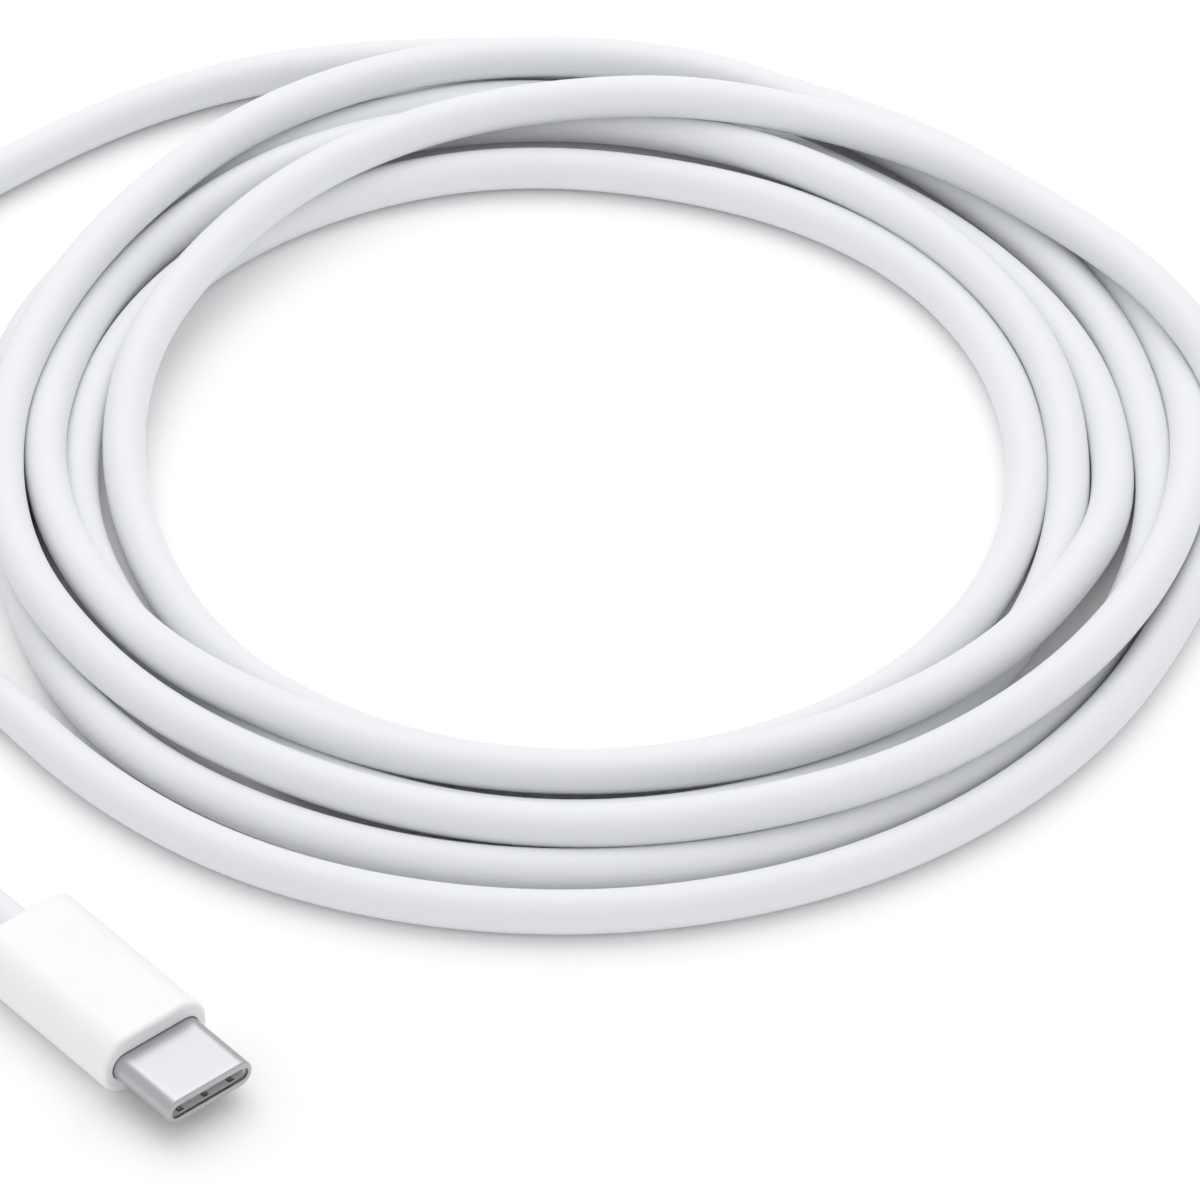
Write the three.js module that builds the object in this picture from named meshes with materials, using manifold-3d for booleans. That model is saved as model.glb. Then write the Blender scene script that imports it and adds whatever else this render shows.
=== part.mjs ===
// Charging cable: a round white cord in a loose coil, with the same small plug at both ends.
// Millimetres, +Z up. Plug A lies on z = 0 with its mouth towards +X and its centre on the origin.

import * as THREE from "three";
import { mergeVertices } from "three/addons/utils/BufferGeometryUtils.js";
import Module from "manifold-3d";

const wasm = await Module();
wasm.setup();

// ---------------------------------------------------------------- driving dimensions

// Housing, the white overmould
const HOUSING_LENGTH = 16.4;
const HOUSING_WIDTH = 10.1;
const HOUSING_HEIGHT = 5.5;
const HOUSING_CORNER = 2.5;
const HOUSING_EDGE = 0.4;
const HOUSING_REAR_WALL = 2.2;
const CAVITY_SIDE_WALL = 0.8;
const CAVITY_ROOF = 0.75;

// Plug shell, the steel tube that enters a socket
const SHELL_WIDTH = 8.25;
const SHELL_HEIGHT = 2.4;
const SHELL_REACH = 6.6;
const SHELL_BURIED = 5.5;
const SHELL_WALL = 0.25;
const LIP_EDGE = 0.22;
const LIP_DEPTH = 0.3;
const LIP_SIDE = 0.425;
const LIP_TOP = 0.6;

// Contact carrier, the insulator inside the shell
const CARRIER_LENGTH = 7.6;
const SLOT_SIDE_SET_BACK = 0.25;
const SLOT_HEIGHT = 1.16;
const SLOT_CORNER = 0.3;
const SLOT_DEPTH = 6.0;

// Contacts: flat springs, one row above and one below the slot
const CONTACT_PITCH = 0.5;
const CONTACT_SITES = 12;
const TOP_SITES = [1, 4, 5, 6, 7, 9, 12];
const BOTTOM_SITES = [1, 4, 5, 9, 12];
const CONTACT_WIDTH = 0.25;
const CONTACT_THICKNESS = 0.14;
const CONTACT_SET_BACK = 2.2;
const CONTACT_BUMP = 0.26;
const BUMP_REACH = 0.5;
const TIP_LIFT = 0.12;
const TAIL_LENGTH = 2.0;

// Latch spring, a flat fork whose arms run along both sides of the slot
const LATCH_SIDE_GAP = 0.225;
const LATCH_ARM_THICKNESS = 0.2;
const LATCH_HEIGHT = 0.4;
const LATCH_SET_BACK = 2.0;
const LATCH_HOOK = 0.3;
const HOOK_REACH = 0.4;
const LATCH_BRIDGE = 0.7;
const BRIDGE_HEIGHT = 0.2;

// Ground springs, thin plates with three fingers that reach through windows in the carrier
const SPRING_THICKNESS = 0.1;
const SPRING_LENGTH = 0.7;
const FINGER_SIDE_SET_BACK = 1.0;
const FINGER_WIDTH = 0.4;
const FINGER_DIP = 0.3;
const WINDOW_SET_BACK = 0.5;
const WINDOW_LENGTH = 0.85;
const WINDOW_WIDTH = 0.55;

// Circuit board, its two screening cans and the inner mould round them
const BOARD_THICKNESS = 0.6;
const BOARD_SIDE_GAP = 0.225;
const BOARD_TO_CRIMP = 2.0;
const BOARD_GAP = 0.3;
const SHIELD_SHEET = 0.15;
const SHIELD_TO_CRIMP = 0.85;
const MOULD_WALL = 0.3;

// Crimp ferrule and wires
const FERRULE_LENGTH = 2.4;
const FERRULE_WALL = 0.2;
const JACKET_SET_BACK = 0.6;
const WIRE_RADIUS = 0.35;
const WIRE_PAD_LENGTH = 1.2;
const WIRE_RING_RADIUS = 0.85;
const WIRE_BEND = 1.7;
const POWER_PAD_Y = 2.0;
const DATA_PAD_Y = 0.8;

// Cord
const CORD_DIAMETER = 3.5;
const CORD_SIDES = 8;

// Clearances between neighbours
const THIN = 0.03;
const SNUG = 0.05;
const LOOSE = 0.15;
const CORD_GAP = 0.3;

// The coil, and where the second plug lies beside it (plan coordinates)
const COIL_CENTRE = new THREE.Vector2(-25.35, 68.3);
const COIL_INNER_RADIUS = 33.0;
const COIL_OUTER_RADIUS = 54.6;
const COIL_HEIGHT = 7.0;
const COIL_EDGE = 1.5;
const PLUG_B_CENTRE = new THREE.Vector2(-71.55, 27.72);
const PLUG_B_TURN = 139.24;

// Where the cord runs outside the coil: plan points and the height of its centreline
const LEAD_A_ROUTE = [
  [-16.5, 0.0, 2.7],
  [-21.5, 0.0, 2.4],
  [-31.3, 0.5, 1.9],
  [-40.9, 2.3, 1.8],
  [-50.3, 5.1, 1.8],
  [-59.3, 9.1, 1.8],
  [-67.7, 14.1, 1.8],
  [-75.5, 20.0, 1.8],
  [-78.5, 22.6, 1.8],
  [-82.4, 26.7, 1.8],
  [-85.3, 31.5, 1.8],
  [-87.1, 36.8, 1.8],
  [-87.8, 42.4, 1.8],
  [-88.0, 51.4, 1.8],
  [-88.2, 60.4, 1.8],
  [-87.6, 70.2, 1.8],
  [-85.4, 79.7, 1.8],
  [-81.8, 87.5, 1.8],
  [-77.1, 94.4, 1.8],
  [-71.9, 100.6, 1.8],
];
const LEAD_B_ROUTE = [
  [-60.3, 18.2, 2.5],
  [-57.3, 16.6, 2.2],
  [-52.1, 15.4, 1.9],
  [-46.4, 15.6, 1.8],
];

// ---------------------------------------------------------------- derived places

const MOUTH_X = (SHELL_REACH + HOUSING_LENGTH) / 2;
const FACE_X = MOUTH_X - SHELL_REACH;
const REAR_X = FACE_X - HOUSING_LENGTH;
const AXIS_Z = HOUSING_HEIGHT / 2;
const SHELL_REAR_X = FACE_X - SHELL_BURIED;
const CAVITY_REAR_X = REAR_X + HOUSING_REAR_WALL;
const CAVITY_WIDTH = HOUSING_WIDTH - 2 * CAVITY_SIDE_WALL;
const CAVITY_HEIGHT = HOUSING_HEIGHT - 2 * CAVITY_ROOF;
const CAVITY_CORNER = HOUSING_CORNER - CAVITY_SIDE_WALL;
const BORE_RADIUS = CORD_DIAMETER / 2 + LOOSE;

const MOUTH_WIDTH = SHELL_WIDTH - 2 * LIP_SIDE;
const MOUTH_HEIGHT = SHELL_HEIGHT - 2 * LIP_TOP;
const SLOT_WIDTH = MOUTH_WIDTH - 2 * SLOT_SIDE_SET_BACK;

const CARRIER_FRONT_X = MOUTH_X - LIP_DEPTH - SNUG;
const CARRIER_REAR_X = CARRIER_FRONT_X - CARRIER_LENGTH;
const CARRIER_WIDTH = SHELL_WIDTH - 2 * (SHELL_WALL + SNUG);
const CARRIER_HEIGHT = SHELL_HEIGHT - 2 * (SHELL_WALL + SNUG);
const SLOT_REAR_X = CARRIER_FRONT_X - SLOT_DEPTH;
const SLOT_ROOF_Z = SLOT_HEIGHT / 2;

const BEAM_Z = SLOT_ROOF_Z + THIN;
const GROOVE_ROOF_Z = BEAM_Z + CONTACT_THICKNESS + THIN;
const CONTACT_TIP_X = MOUTH_X - CONTACT_SET_BACK;
const GROOVE_FRONT_X = CONTACT_TIP_X + 2 * SNUG;
const LATCH_TIP_X = MOUTH_X - LATCH_SET_BACK;
const LATCH_SPAN = CARRIER_WIDTH - 2 * LATCH_SIDE_GAP;
const WINDOW_FRONT_X = MOUTH_X - WINDOW_SET_BACK;
const WINDOW_REAR_X = WINDOW_FRONT_X - WINDOW_LENGTH;
const SPRING_FRONT_X = WINDOW_REAR_X;
const SPRING_REAR_X = SPRING_FRONT_X - SPRING_LENGTH;
const FINGER_PITCH = SLOT_WIDTH / 2 - FINGER_SIDE_SET_BACK;
const SPRING_WIDTH = 2 * FINGER_PITCH + WINDOW_WIDTH;
const SPRING_FLOOR_Z = CARRIER_HEIGHT / 2 - SPRING_THICKNESS;

const FERRULE_INNER = CORD_DIAMETER / 2 + SNUG;
const FERRULE_OUTER = FERRULE_INNER + FERRULE_WALL;
const FERRULE_REAR_X = CAVITY_REAR_X + LOOSE;
const FERRULE_FRONT_X = FERRULE_REAR_X + FERRULE_LENGTH;
const JACKET_END_X = FERRULE_FRONT_X - JACKET_SET_BACK;

const BOARD_FRONT_X = CARRIER_REAR_X - BOARD_GAP;
const BOARD_REAR_X = FERRULE_FRONT_X + BOARD_TO_CRIMP;
const TAIL_Z = BOARD_THICKNESS / 2 + THIN;
const MOULD_WIDTH = CAVITY_WIDTH - 2 * SNUG;
const MOULD_HEIGHT = CAVITY_HEIGHT - 2 * SNUG;
const MOULD_CORNER = CAVITY_CORNER - SNUG;
const MOULD_FRONT_X = SHELL_REAR_X - SNUG;
const MOULD_REAR_X = CAVITY_REAR_X + SNUG;
const SHIELD_WIDTH = MOULD_WIDTH - 2 * (MOULD_WALL + SNUG);
const SHIELD_HEIGHT = MOULD_HEIGHT - 2 * (MOULD_WALL + SNUG);
const SHIELD_CORNER = MOULD_CORNER - MOULD_WALL - SNUG;
const SHIELD_FRONT_X = MOULD_FRONT_X - SNUG;
const SHIELD_REAR_X = FERRULE_FRONT_X + SHIELD_TO_CRIMP;
const BOARD_SHOULDER_X = SHELL_REAR_X - SNUG / 2;
const BOARD_WIDTH_IN_SHELL = SHELL_WIDTH - 2 * (SHELL_WALL + BOARD_SIDE_GAP);
const BOARD_WIDTH_IN_SHIELD = SHIELD_WIDTH - 2 * (SHIELD_SHEET + SNUG);

const WIRE_START_X = BOARD_REAR_X + WIRE_PAD_LENGTH;
const WIRE_END_X = JACKET_END_X + CORD_GAP;
const WIRE_PAD_Z = BOARD_THICKNESS / 2 + THIN + WIRE_RADIUS;

// ---------------------------------------------------------------- materials

function material(colour, roughness, metalness) {
  return new THREE.MeshStandardMaterial({ color: colour, roughness, metalness });
}

const WHITE_PLASTIC = material(0xf2f2f0, 0.4, 0);
const CORD_JACKET = material(0xefefee, 0.5, 0);
const STEEL = material(0xc9cbcd, 0.25, 1);
const SPRING_STEEL = material(0xa9abad, 0.35, 1);
const CARRIER_PLASTIC = material(0x8c8c8c, 0.6, 0);
const GOLD_PLATE = material(0xd9b45a, 0.3, 1);
const BOARD_GREEN = material(0x1f5b3a, 0.6, 0);
const TIN = material(0xb9bcbf, 0.4, 1);
const MOULD_PLASTIC = material(0xd8d8d2, 0.6, 0);
const RED_SLEEVE = material(0xb02a25, 0.5, 0);
const BLACK_SLEEVE = material(0x1e1e1e, 0.5, 0);
const BLUE_SLEEVE = material(0x2c4f9e, 0.5, 0);
const GREEN_SLEEVE = material(0x2f7d46, 0.5, 0);
const PALE_SLEEVE = material(0xe6e6e6, 0.5, 0);

// ---------------------------------------------------------------- shapes and solids

// A rectangle with round corners, centred; half its height as the corner gives round ends.
function rounded(width, height, corner) {
  const segments = 6;
  const radius = Math.min(corner, width / 2, height / 2);
  const points = [];
  for (let turn = 0; turn < 4; turn += 1) {
    const right = turn === 0 || turn === 3;
    const x = (width / 2 - radius) * (right ? 1 : -1);
    const y = (height / 2 - radius) * (turn < 2 ? 1 : -1);
    for (let step = 0; step <= segments; step += 1) {
      const angle = (Math.PI / 2) * (turn + step / segments);
      const point = new THREE.Vector2(x + radius * Math.cos(angle), y + radius * Math.sin(angle));
      if (!points.length || point.distanceTo(points.at(-1)) > 1e-6) {
        points.push(point);
      }
    }
  }
  if (points.at(-1).distanceTo(points[0]) < 1e-6) {
    points.pop();
  }
  return new THREE.Shape(points);
}

function obround(width, height) {
  return rounded(width, height, height / 2);
}

function polygon(points) {
  return new THREE.Shape(points.map(([u, v]) => new THREE.Vector2(u, v)));
}

function circle(radius, sides) {
  const points = [];
  for (let side = 0; side < sides; side += 1) {
    const angle = (2 * Math.PI * (side + 0.5)) / sides;
    points.push([radius * Math.cos(angle), radius * Math.sin(angle)]);
  }
  return polygon(points);
}

// A strip of sheet seen on edge: the path is one face, the other face lies further out.
function strip(path, thickness) {
  const far = path.map(([u, v]) => [u, v + thickness]).reverse();
  return polygon([...path, ...far]);
}

function solid(geometry) {
  const plain = geometry.index ? geometry.toNonIndexed() : geometry.clone();
  plain.deleteAttribute("normal");
  plain.deleteAttribute("uv");
  const merged = mergeVertices(plain, 1e-4);
  return new wasm.Manifold(
    new wasm.Mesh({
      numProp: 3,
      vertProperties: new Float32Array(merged.attributes.position.array),
      triVerts: new Uint32Array(merged.index.array),
    }),
  );
}

// An extrusion whose length runs along X, from a section given in (y, z).
function alongX(shape, from, to, edge = 0) {
  const geometry = new THREE.ExtrudeGeometry(shape, {
    depth: to - from - 2 * edge,
    steps: 1,
    bevelEnabled: edge > 0,
    bevelThickness: edge,
    bevelSize: edge,
    bevelOffset: -edge,
    bevelSegments: 3,
  });
  const turn = new THREE.Matrix4().set(0, 0, 1, from + edge, 1, 0, 0, 0, 0, 1, 0, 0, 0, 0, 0, 1);
  return solid(geometry.applyMatrix4(turn));
}

// An extrusion along Y, from a side view given in (x, z), centred on the given y.
function alongY(shape, centre, width) {
  const geometry = new THREE.ExtrudeGeometry(shape, { depth: width, bevelEnabled: false });
  const y = centre + width / 2;
  const turn = new THREE.Matrix4().set(1, 0, 0, 0, 0, 0, -1, y, 0, 1, 0, 0, 0, 0, 0, 1);
  return solid(geometry.applyMatrix4(turn));
}

// An extrusion along Z, from a plan given in (x, y), centred on the axis.
function alongZ(shape, height) {
  const geometry = new THREE.ExtrudeGeometry(shape, { depth: height, bevelEnabled: false });
  return solid(geometry.translate(0, 0, -height / 2));
}

function block(xFrom, xTo, yFrom, yTo, height) {
  const plan = polygon([
    [xFrom, yFrom],
    [xTo, yFrom],
    [xTo, yTo],
    [xFrom, yTo],
  ]);
  return alongZ(plan, height);
}

function tube(points, radius, sides, steps) {
  const path = new THREE.CatmullRomCurve3(points.map(([x, y, z]) => new THREE.Vector3(x, y, z)));
  const options = { steps, bevelEnabled: false, extrudePath: path };
  return solid(new THREE.ExtrudeGeometry(circle(radius, sides), options));
}

function flipped(body) {
  return body.mirror([0, 0, 1]);
}

function addMesh(group, name, body, finish) {
  const data = body.getMesh();
  const geometry = new THREE.BufferGeometry();
  geometry.setAttribute("position", new THREE.BufferAttribute(data.vertProperties, 3));
  geometry.setIndex(new THREE.BufferAttribute(data.triVerts, 1));
  geometry.computeVertexNormals();
  const mesh = new THREE.Mesh(geometry, finish);
  mesh.name = name;
  group.add(mesh);
}

// ---------------------------------------------------------------- the pieces of one plug
// Inside a plug z = 0 is the plug's own axis.

function housing() {
  const outside = rounded(HOUSING_WIDTH, HOUSING_HEIGHT, HOUSING_CORNER);
  const shellHole = obround(SHELL_WIDTH + 2 * SNUG, SHELL_HEIGHT + 2 * SNUG);
  const cavity = rounded(CAVITY_WIDTH, CAVITY_HEIGHT, CAVITY_CORNER);
  const crimpBore = circle(FERRULE_OUTER + SNUG, 32);
  return alongX(outside, REAR_X, FACE_X, HOUSING_EDGE)
    .subtract(alongX(shellHole, SHELL_REAR_X - SNUG, FACE_X + 1))
    .subtract(alongX(cavity, CAVITY_REAR_X, SHELL_REAR_X))
    .subtract(alongX(crimpBore, CAVITY_REAR_X, FERRULE_FRONT_X + SNUG))
    .subtract(alongX(circle(BORE_RADIUS, 32), REAR_X - 1, CAVITY_REAR_X + SNUG));
}

function shell() {
  const hollow = obround(SHELL_WIDTH - 2 * SHELL_WALL, SHELL_HEIGHT - 2 * SHELL_WALL);
  const rearTrim = block(SHELL_REAR_X - 2, SHELL_REAR_X, -SHELL_WIDTH, SHELL_WIDTH, 2 * SHELL_HEIGHT);
  return alongX(obround(SHELL_WIDTH, SHELL_HEIGHT), SHELL_REAR_X - 1, MOUTH_X, LIP_EDGE)
    .subtract(rearTrim)
    .subtract(alongX(hollow, SHELL_REAR_X - 1, MOUTH_X - LIP_DEPTH))
    .subtract(alongX(obround(MOUTH_WIDTH, MOUTH_HEIGHT), MOUTH_X - 1, MOUTH_X + 1));
}

function contactY(site) {
  return (site - (CONTACT_SITES + 1) / 2) * CONTACT_PITCH;
}

// Top half of the carrier's cuts: contact grooves, ground spring seat and finger windows.
function carrierTopCuts() {
  const cuts = [];
  for (let site = 1; site <= CONTACT_SITES; site += 1) {
    const groove = polygon([
      [CARRIER_REAR_X - 1, 0.5 * SLOT_HEIGHT - SNUG],
      [GROOVE_FRONT_X, 0.5 * SLOT_HEIGHT - SNUG],
      [GROOVE_FRONT_X, GROOVE_ROOF_Z],
      [CARRIER_REAR_X - 1, GROOVE_ROOF_Z],
    ]);
    cuts.push(alongY(groove, contactY(site), CONTACT_WIDTH + 2 * SNUG));
  }
  const seat = polygon([
    [SPRING_REAR_X - SNUG, SPRING_FLOOR_Z - THIN],
    [SPRING_FRONT_X + SNUG, SPRING_FLOOR_Z - THIN],
    [SPRING_FRONT_X + SNUG, CARRIER_HEIGHT],
    [SPRING_REAR_X - SNUG, CARRIER_HEIGHT],
  ]);
  cuts.push(alongY(seat, 0, SPRING_WIDTH + 2 * SNUG));
  for (const y of [-FINGER_PITCH, 0, FINGER_PITCH]) {
    const window = polygon([
      [WINDOW_REAR_X, 0],
      [WINDOW_FRONT_X, 0],
      [WINDOW_FRONT_X, CARRIER_HEIGHT],
      [WINDOW_REAR_X, CARRIER_HEIGHT],
    ]);
    cuts.push(alongY(window, y, WINDOW_WIDTH));
  }
  return cuts;
}

function contactCarrier() {
  const slot = rounded(SLOT_WIDTH, SLOT_HEIGHT, SLOT_CORNER);
  const innerSide = LATCH_SPAN / 2 - LATCH_ARM_THICKNESS - LOOSE;
  const sideHeight = LATCH_HEIGHT + 2 * SNUG;
  const sideFront = LATCH_TIP_X + LOOSE;
  const bridgeFront = CARRIER_REAR_X + BOARD_GAP + LATCH_BRIDGE + LOOSE;
  let carrier = alongX(obround(CARRIER_WIDTH, CARRIER_HEIGHT), CARRIER_REAR_X, CARRIER_FRONT_X)
    .subtract(alongX(slot, SLOT_REAR_X, CARRIER_FRONT_X + 1))
    .subtract(block(CARRIER_REAR_X - 1, sideFront, innerSide, CARRIER_WIDTH, sideHeight))
    .subtract(block(CARRIER_REAR_X - 1, sideFront, -CARRIER_WIDTH, -innerSide, sideHeight))
    .subtract(block(CARRIER_REAR_X - 1, bridgeFront, -innerSide, innerSide, BRIDGE_HEIGHT + 2 * SNUG));
  for (const cut of carrierTopCuts()) {
    carrier = carrier.subtract(cut).subtract(flipped(cut));
  }
  return carrier;
}

// A contact of the top row: tail on the board, beam in its groove, bump that meets the socket.
function contact(site) {
  const path = [
    [BOARD_FRONT_X - TAIL_LENGTH, TAIL_Z],
    [BOARD_FRONT_X - BOARD_GAP, TAIL_Z],
    [BOARD_FRONT_X, BEAM_Z],
    [CONTACT_TIP_X - 2 * BUMP_REACH, BEAM_Z],
    [CONTACT_TIP_X - BUMP_REACH, BEAM_Z - CONTACT_BUMP],
    [CONTACT_TIP_X, BEAM_Z - TIP_LIFT],
  ];
  return alongY(strip(path, CONTACT_THICKNESS), contactY(site), CONTACT_WIDTH);
}

function latchSpring() {
  const inside = LATCH_SPAN / 2 - LATCH_ARM_THICKNESS;
  const rear = CARRIER_REAR_X + BOARD_GAP;
  const path = [
    [rear, inside],
    [LATCH_TIP_X - 2 * HOOK_REACH, inside],
    [LATCH_TIP_X - HOOK_REACH, inside - LATCH_HOOK],
    [LATCH_TIP_X, inside - SNUG],
  ];
  const arm = alongZ(strip(path, LATCH_ARM_THICKNESS), LATCH_HEIGHT);
  const bridge = block(rear, rear + LATCH_BRIDGE, -LATCH_SPAN / 2, LATCH_SPAN / 2, BRIDGE_HEIGHT);
  return arm.add(arm.mirror([0, 1, 0])).add(bridge);
}

function groundSpring() {
  const plate = polygon([
    [SPRING_REAR_X, SPRING_FLOOR_Z],
    [SPRING_FRONT_X, SPRING_FLOOR_Z],
    [SPRING_FRONT_X, SPRING_FLOOR_Z + SPRING_THICKNESS],
    [SPRING_REAR_X, SPRING_FLOOR_Z + SPRING_THICKNESS],
  ]);
  const path = [
    [SPRING_REAR_X, SPRING_FLOOR_Z],
    [SPRING_FRONT_X, SPRING_FLOOR_Z],
    [(SPRING_FRONT_X + WINDOW_FRONT_X) / 2, SPRING_FLOOR_Z - FINGER_DIP],
    [WINDOW_FRONT_X - 2 * SNUG, SPRING_FLOOR_Z - FINGER_DIP + SNUG],
  ];
  let spring = alongY(plate, 0, SPRING_WIDTH);
  for (const y of [-FINGER_PITCH, 0, FINGER_PITCH]) {
    spring = spring.add(alongY(strip(path, SPRING_THICKNESS), y, FINGER_WIDTH));
  }
  return spring;
}

// The front of the board reaches into the shell, and the rest of it fills the screening cans.
function board() {
  const front = BOARD_WIDTH_IN_SHELL / 2;
  const rear = BOARD_WIDTH_IN_SHIELD / 2;
  return block(BOARD_REAR_X, BOARD_SHOULDER_X, -rear, rear, BOARD_THICKNESS).add(
    block(BOARD_SHOULDER_X, BOARD_FRONT_X, -front, front, BOARD_THICKNESS),
  );
}

function shield() {
  const outside = rounded(SHIELD_WIDTH, SHIELD_HEIGHT, SHIELD_CORNER);
  const inside = rounded(
    SHIELD_WIDTH - 2 * SHIELD_SHEET,
    SHIELD_HEIGHT - 2 * SHIELD_SHEET,
    SHIELD_CORNER - SHIELD_SHEET,
  );
  const lowerHalf = polygon([
    [SHIELD_REAR_X - 1, -SHIELD_HEIGHT],
    [SHIELD_FRONT_X + 1, -SHIELD_HEIGHT],
    [SHIELD_FRONT_X + 1, THIN],
    [SHIELD_REAR_X - 1, THIN],
  ]);
  return alongX(outside, SHIELD_REAR_X, SHIELD_FRONT_X)
    .subtract(alongX(inside, SHIELD_REAR_X - 1, SHIELD_FRONT_X + 1))
    .subtract(alongY(lowerHalf, 0, 2 * SHIELD_WIDTH));
}

function innerMould() {
  const outside = rounded(MOULD_WIDTH, MOULD_HEIGHT, MOULD_CORNER);
  const inside = rounded(
    MOULD_WIDTH - 2 * MOULD_WALL,
    MOULD_HEIGHT - 2 * MOULD_WALL,
    MOULD_CORNER - MOULD_WALL,
  );
  const crimpBore = circle(FERRULE_OUTER + SNUG, 32);
  return alongX(outside, MOULD_REAR_X, MOULD_FRONT_X)
    .subtract(alongX(inside, SHIELD_REAR_X - SNUG, MOULD_FRONT_X + 1))
    .subtract(alongX(crimpBore, MOULD_REAR_X - 1, SHIELD_REAR_X));
}

function crimpFerrule() {
  return alongX(circle(FERRULE_OUTER, 32), FERRULE_REAR_X, FERRULE_FRONT_X)
    .subtract(alongX(circle(FERRULE_INNER, 32), FERRULE_REAR_X - 1, FERRULE_FRONT_X + 1));
}

// A wire from its pad on the board to its place round the cord's centre.
function wire(padY, side, angle) {
  const y = WIRE_RING_RADIUS * Math.cos(THREE.MathUtils.degToRad(angle));
  const z = WIRE_RING_RADIUS * Math.sin(THREE.MathUtils.degToRad(angle));
  const bendEnd = BOARD_REAR_X - WIRE_BEND;
  const points = [
    [WIRE_START_X, padY, side * WIRE_PAD_Z],
    [BOARD_REAR_X, padY, side * WIRE_PAD_Z],
    [bendEnd, y, z],
    [WIRE_END_X, y, z],
  ];
  return tube(points, WIRE_RADIUS, 6, 8);
}

function plug(suffix) {
  const group = new THREE.Group();
  group.name = "plug_" + suffix;
  const add = (name, body, finish) => addMesh(group, name + "_" + suffix, body, finish);
  add("housing", housing(), WHITE_PLASTIC);
  add("shell", shell(), STEEL);
  add("contact_carrier", contactCarrier(), CARRIER_PLASTIC);
  for (const site of TOP_SITES) {
    add("contact_top_" + site, contact(site), GOLD_PLATE);
  }
  for (const site of BOTTOM_SITES) {
    add("contact_bottom_" + site, flipped(contact(site)), GOLD_PLATE);
  }
  add("latch_spring", latchSpring(), SPRING_STEEL);
  add("ground_spring_top", groundSpring(), SPRING_STEEL);
  add("ground_spring_bottom", flipped(groundSpring()), SPRING_STEEL);
  add("board", board(), BOARD_GREEN);
  add("shield_top", shield(), TIN);
  add("shield_bottom", flipped(shield()), TIN);
  add("inner_mould", innerMould(), MOULD_PLASTIC);
  add("crimp_ferrule", crimpFerrule(), TIN);
  add("wire_power", wire(POWER_PAD_Y, 1, 18), RED_SLEEVE);
  add("wire_config", wire(0, 1, 90), BLUE_SLEEVE);
  add("wire_ground", wire(-POWER_PAD_Y, 1, 162), BLACK_SLEEVE);
  add("wire_data_minus", wire(-DATA_PAD_Y, -1, 234), PALE_SLEEVE);
  add("wire_data_plus", wire(DATA_PAD_Y, -1, 306), GREEN_SLEEVE);
  return group;
}

// ---------------------------------------------------------------- the cord

// A point of a plug, given along the plug's own axis, in plan.
function placed(x, centre, turn) {
  const angle = THREE.MathUtils.degToRad(turn);
  return [centre.x + x * Math.cos(angle), centre.y + x * Math.sin(angle), AXIS_Z];
}

function lead(route, centre, turn, steps) {
  const start = [placed(JACKET_END_X, centre, turn), placed(REAR_X, centre, turn)];
  return tube([...start, ...route], CORD_DIAMETER / 2, CORD_SIDES, steps);
}

function coil() {
  const [inner, outer, edge, top] = [COIL_INNER_RADIUS, COIL_OUTER_RADIUS, COIL_EDGE, COIL_HEIGHT];
  const profile = [
    [inner + edge, 0],
    [outer - edge, 0],
    [outer, edge],
    [outer, top - edge],
    [outer - edge, top],
    [inner + edge, top],
    [inner, top - edge],
    [inner, edge],
    [inner + edge, 0],
  ].map(([radius, height]) => new THREE.Vector2(radius, height));
  const ring = new THREE.LatheGeometry(profile, 64).rotateX(Math.PI / 2);
  return solid(ring.translate(COIL_CENTRE.x, COIL_CENTRE.y, 0));
}

// ---------------------------------------------------------------- the assembly

const group = new THREE.Group();
group.name = "charging_cable";

const plugA = plug("a");
plugA.position.set(0, 0, AXIS_Z);
group.add(plugA);

const plugB = plug("b");
plugB.position.set(PLUG_B_CENTRE.x, PLUG_B_CENTRE.y, AXIS_Z);
plugB.rotation.z = THREE.MathUtils.degToRad(PLUG_B_TURN);
group.add(plugB);

addMesh(group, "cable_lead_a", lead(LEAD_A_ROUTE, new THREE.Vector2(0, 0), 0, 22), CORD_JACKET);
addMesh(group, "cable_coil", coil(), CORD_JACKET);
addMesh(group, "cable_lead_b", lead(LEAD_B_ROUTE, PLUG_B_CENTRE, PLUG_B_TURN, 6), CORD_JACKET);

export default group;
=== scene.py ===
import math

import bmesh
import bpy
import numpy as np
from bpy.props import FloatProperty, FloatVectorProperty, IntProperty, PointerProperty
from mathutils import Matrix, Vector


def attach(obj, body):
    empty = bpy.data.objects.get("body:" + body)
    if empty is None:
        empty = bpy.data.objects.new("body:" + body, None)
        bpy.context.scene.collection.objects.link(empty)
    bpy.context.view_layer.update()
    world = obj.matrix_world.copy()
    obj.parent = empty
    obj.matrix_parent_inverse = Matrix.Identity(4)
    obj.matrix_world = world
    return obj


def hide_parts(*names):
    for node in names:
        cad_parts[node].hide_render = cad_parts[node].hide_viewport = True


bl_info = {
    "name": "Charging Cable",
    "version": (1, 0, 0),
    "blender": (4, 5, 0),
    "location": "3D View > Sidebar > Cable",
    "description": "Lays a round white charging cable in a loose coil and finishes its two plugs",
    "category": "Object",
}

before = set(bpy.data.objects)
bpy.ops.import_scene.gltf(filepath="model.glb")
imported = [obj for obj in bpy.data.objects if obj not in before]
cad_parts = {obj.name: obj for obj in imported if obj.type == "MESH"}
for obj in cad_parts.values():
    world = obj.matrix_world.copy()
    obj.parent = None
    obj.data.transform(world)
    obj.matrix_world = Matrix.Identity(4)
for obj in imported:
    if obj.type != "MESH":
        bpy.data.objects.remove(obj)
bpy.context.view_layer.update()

MM = 0.001
BODY = "root"

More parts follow.
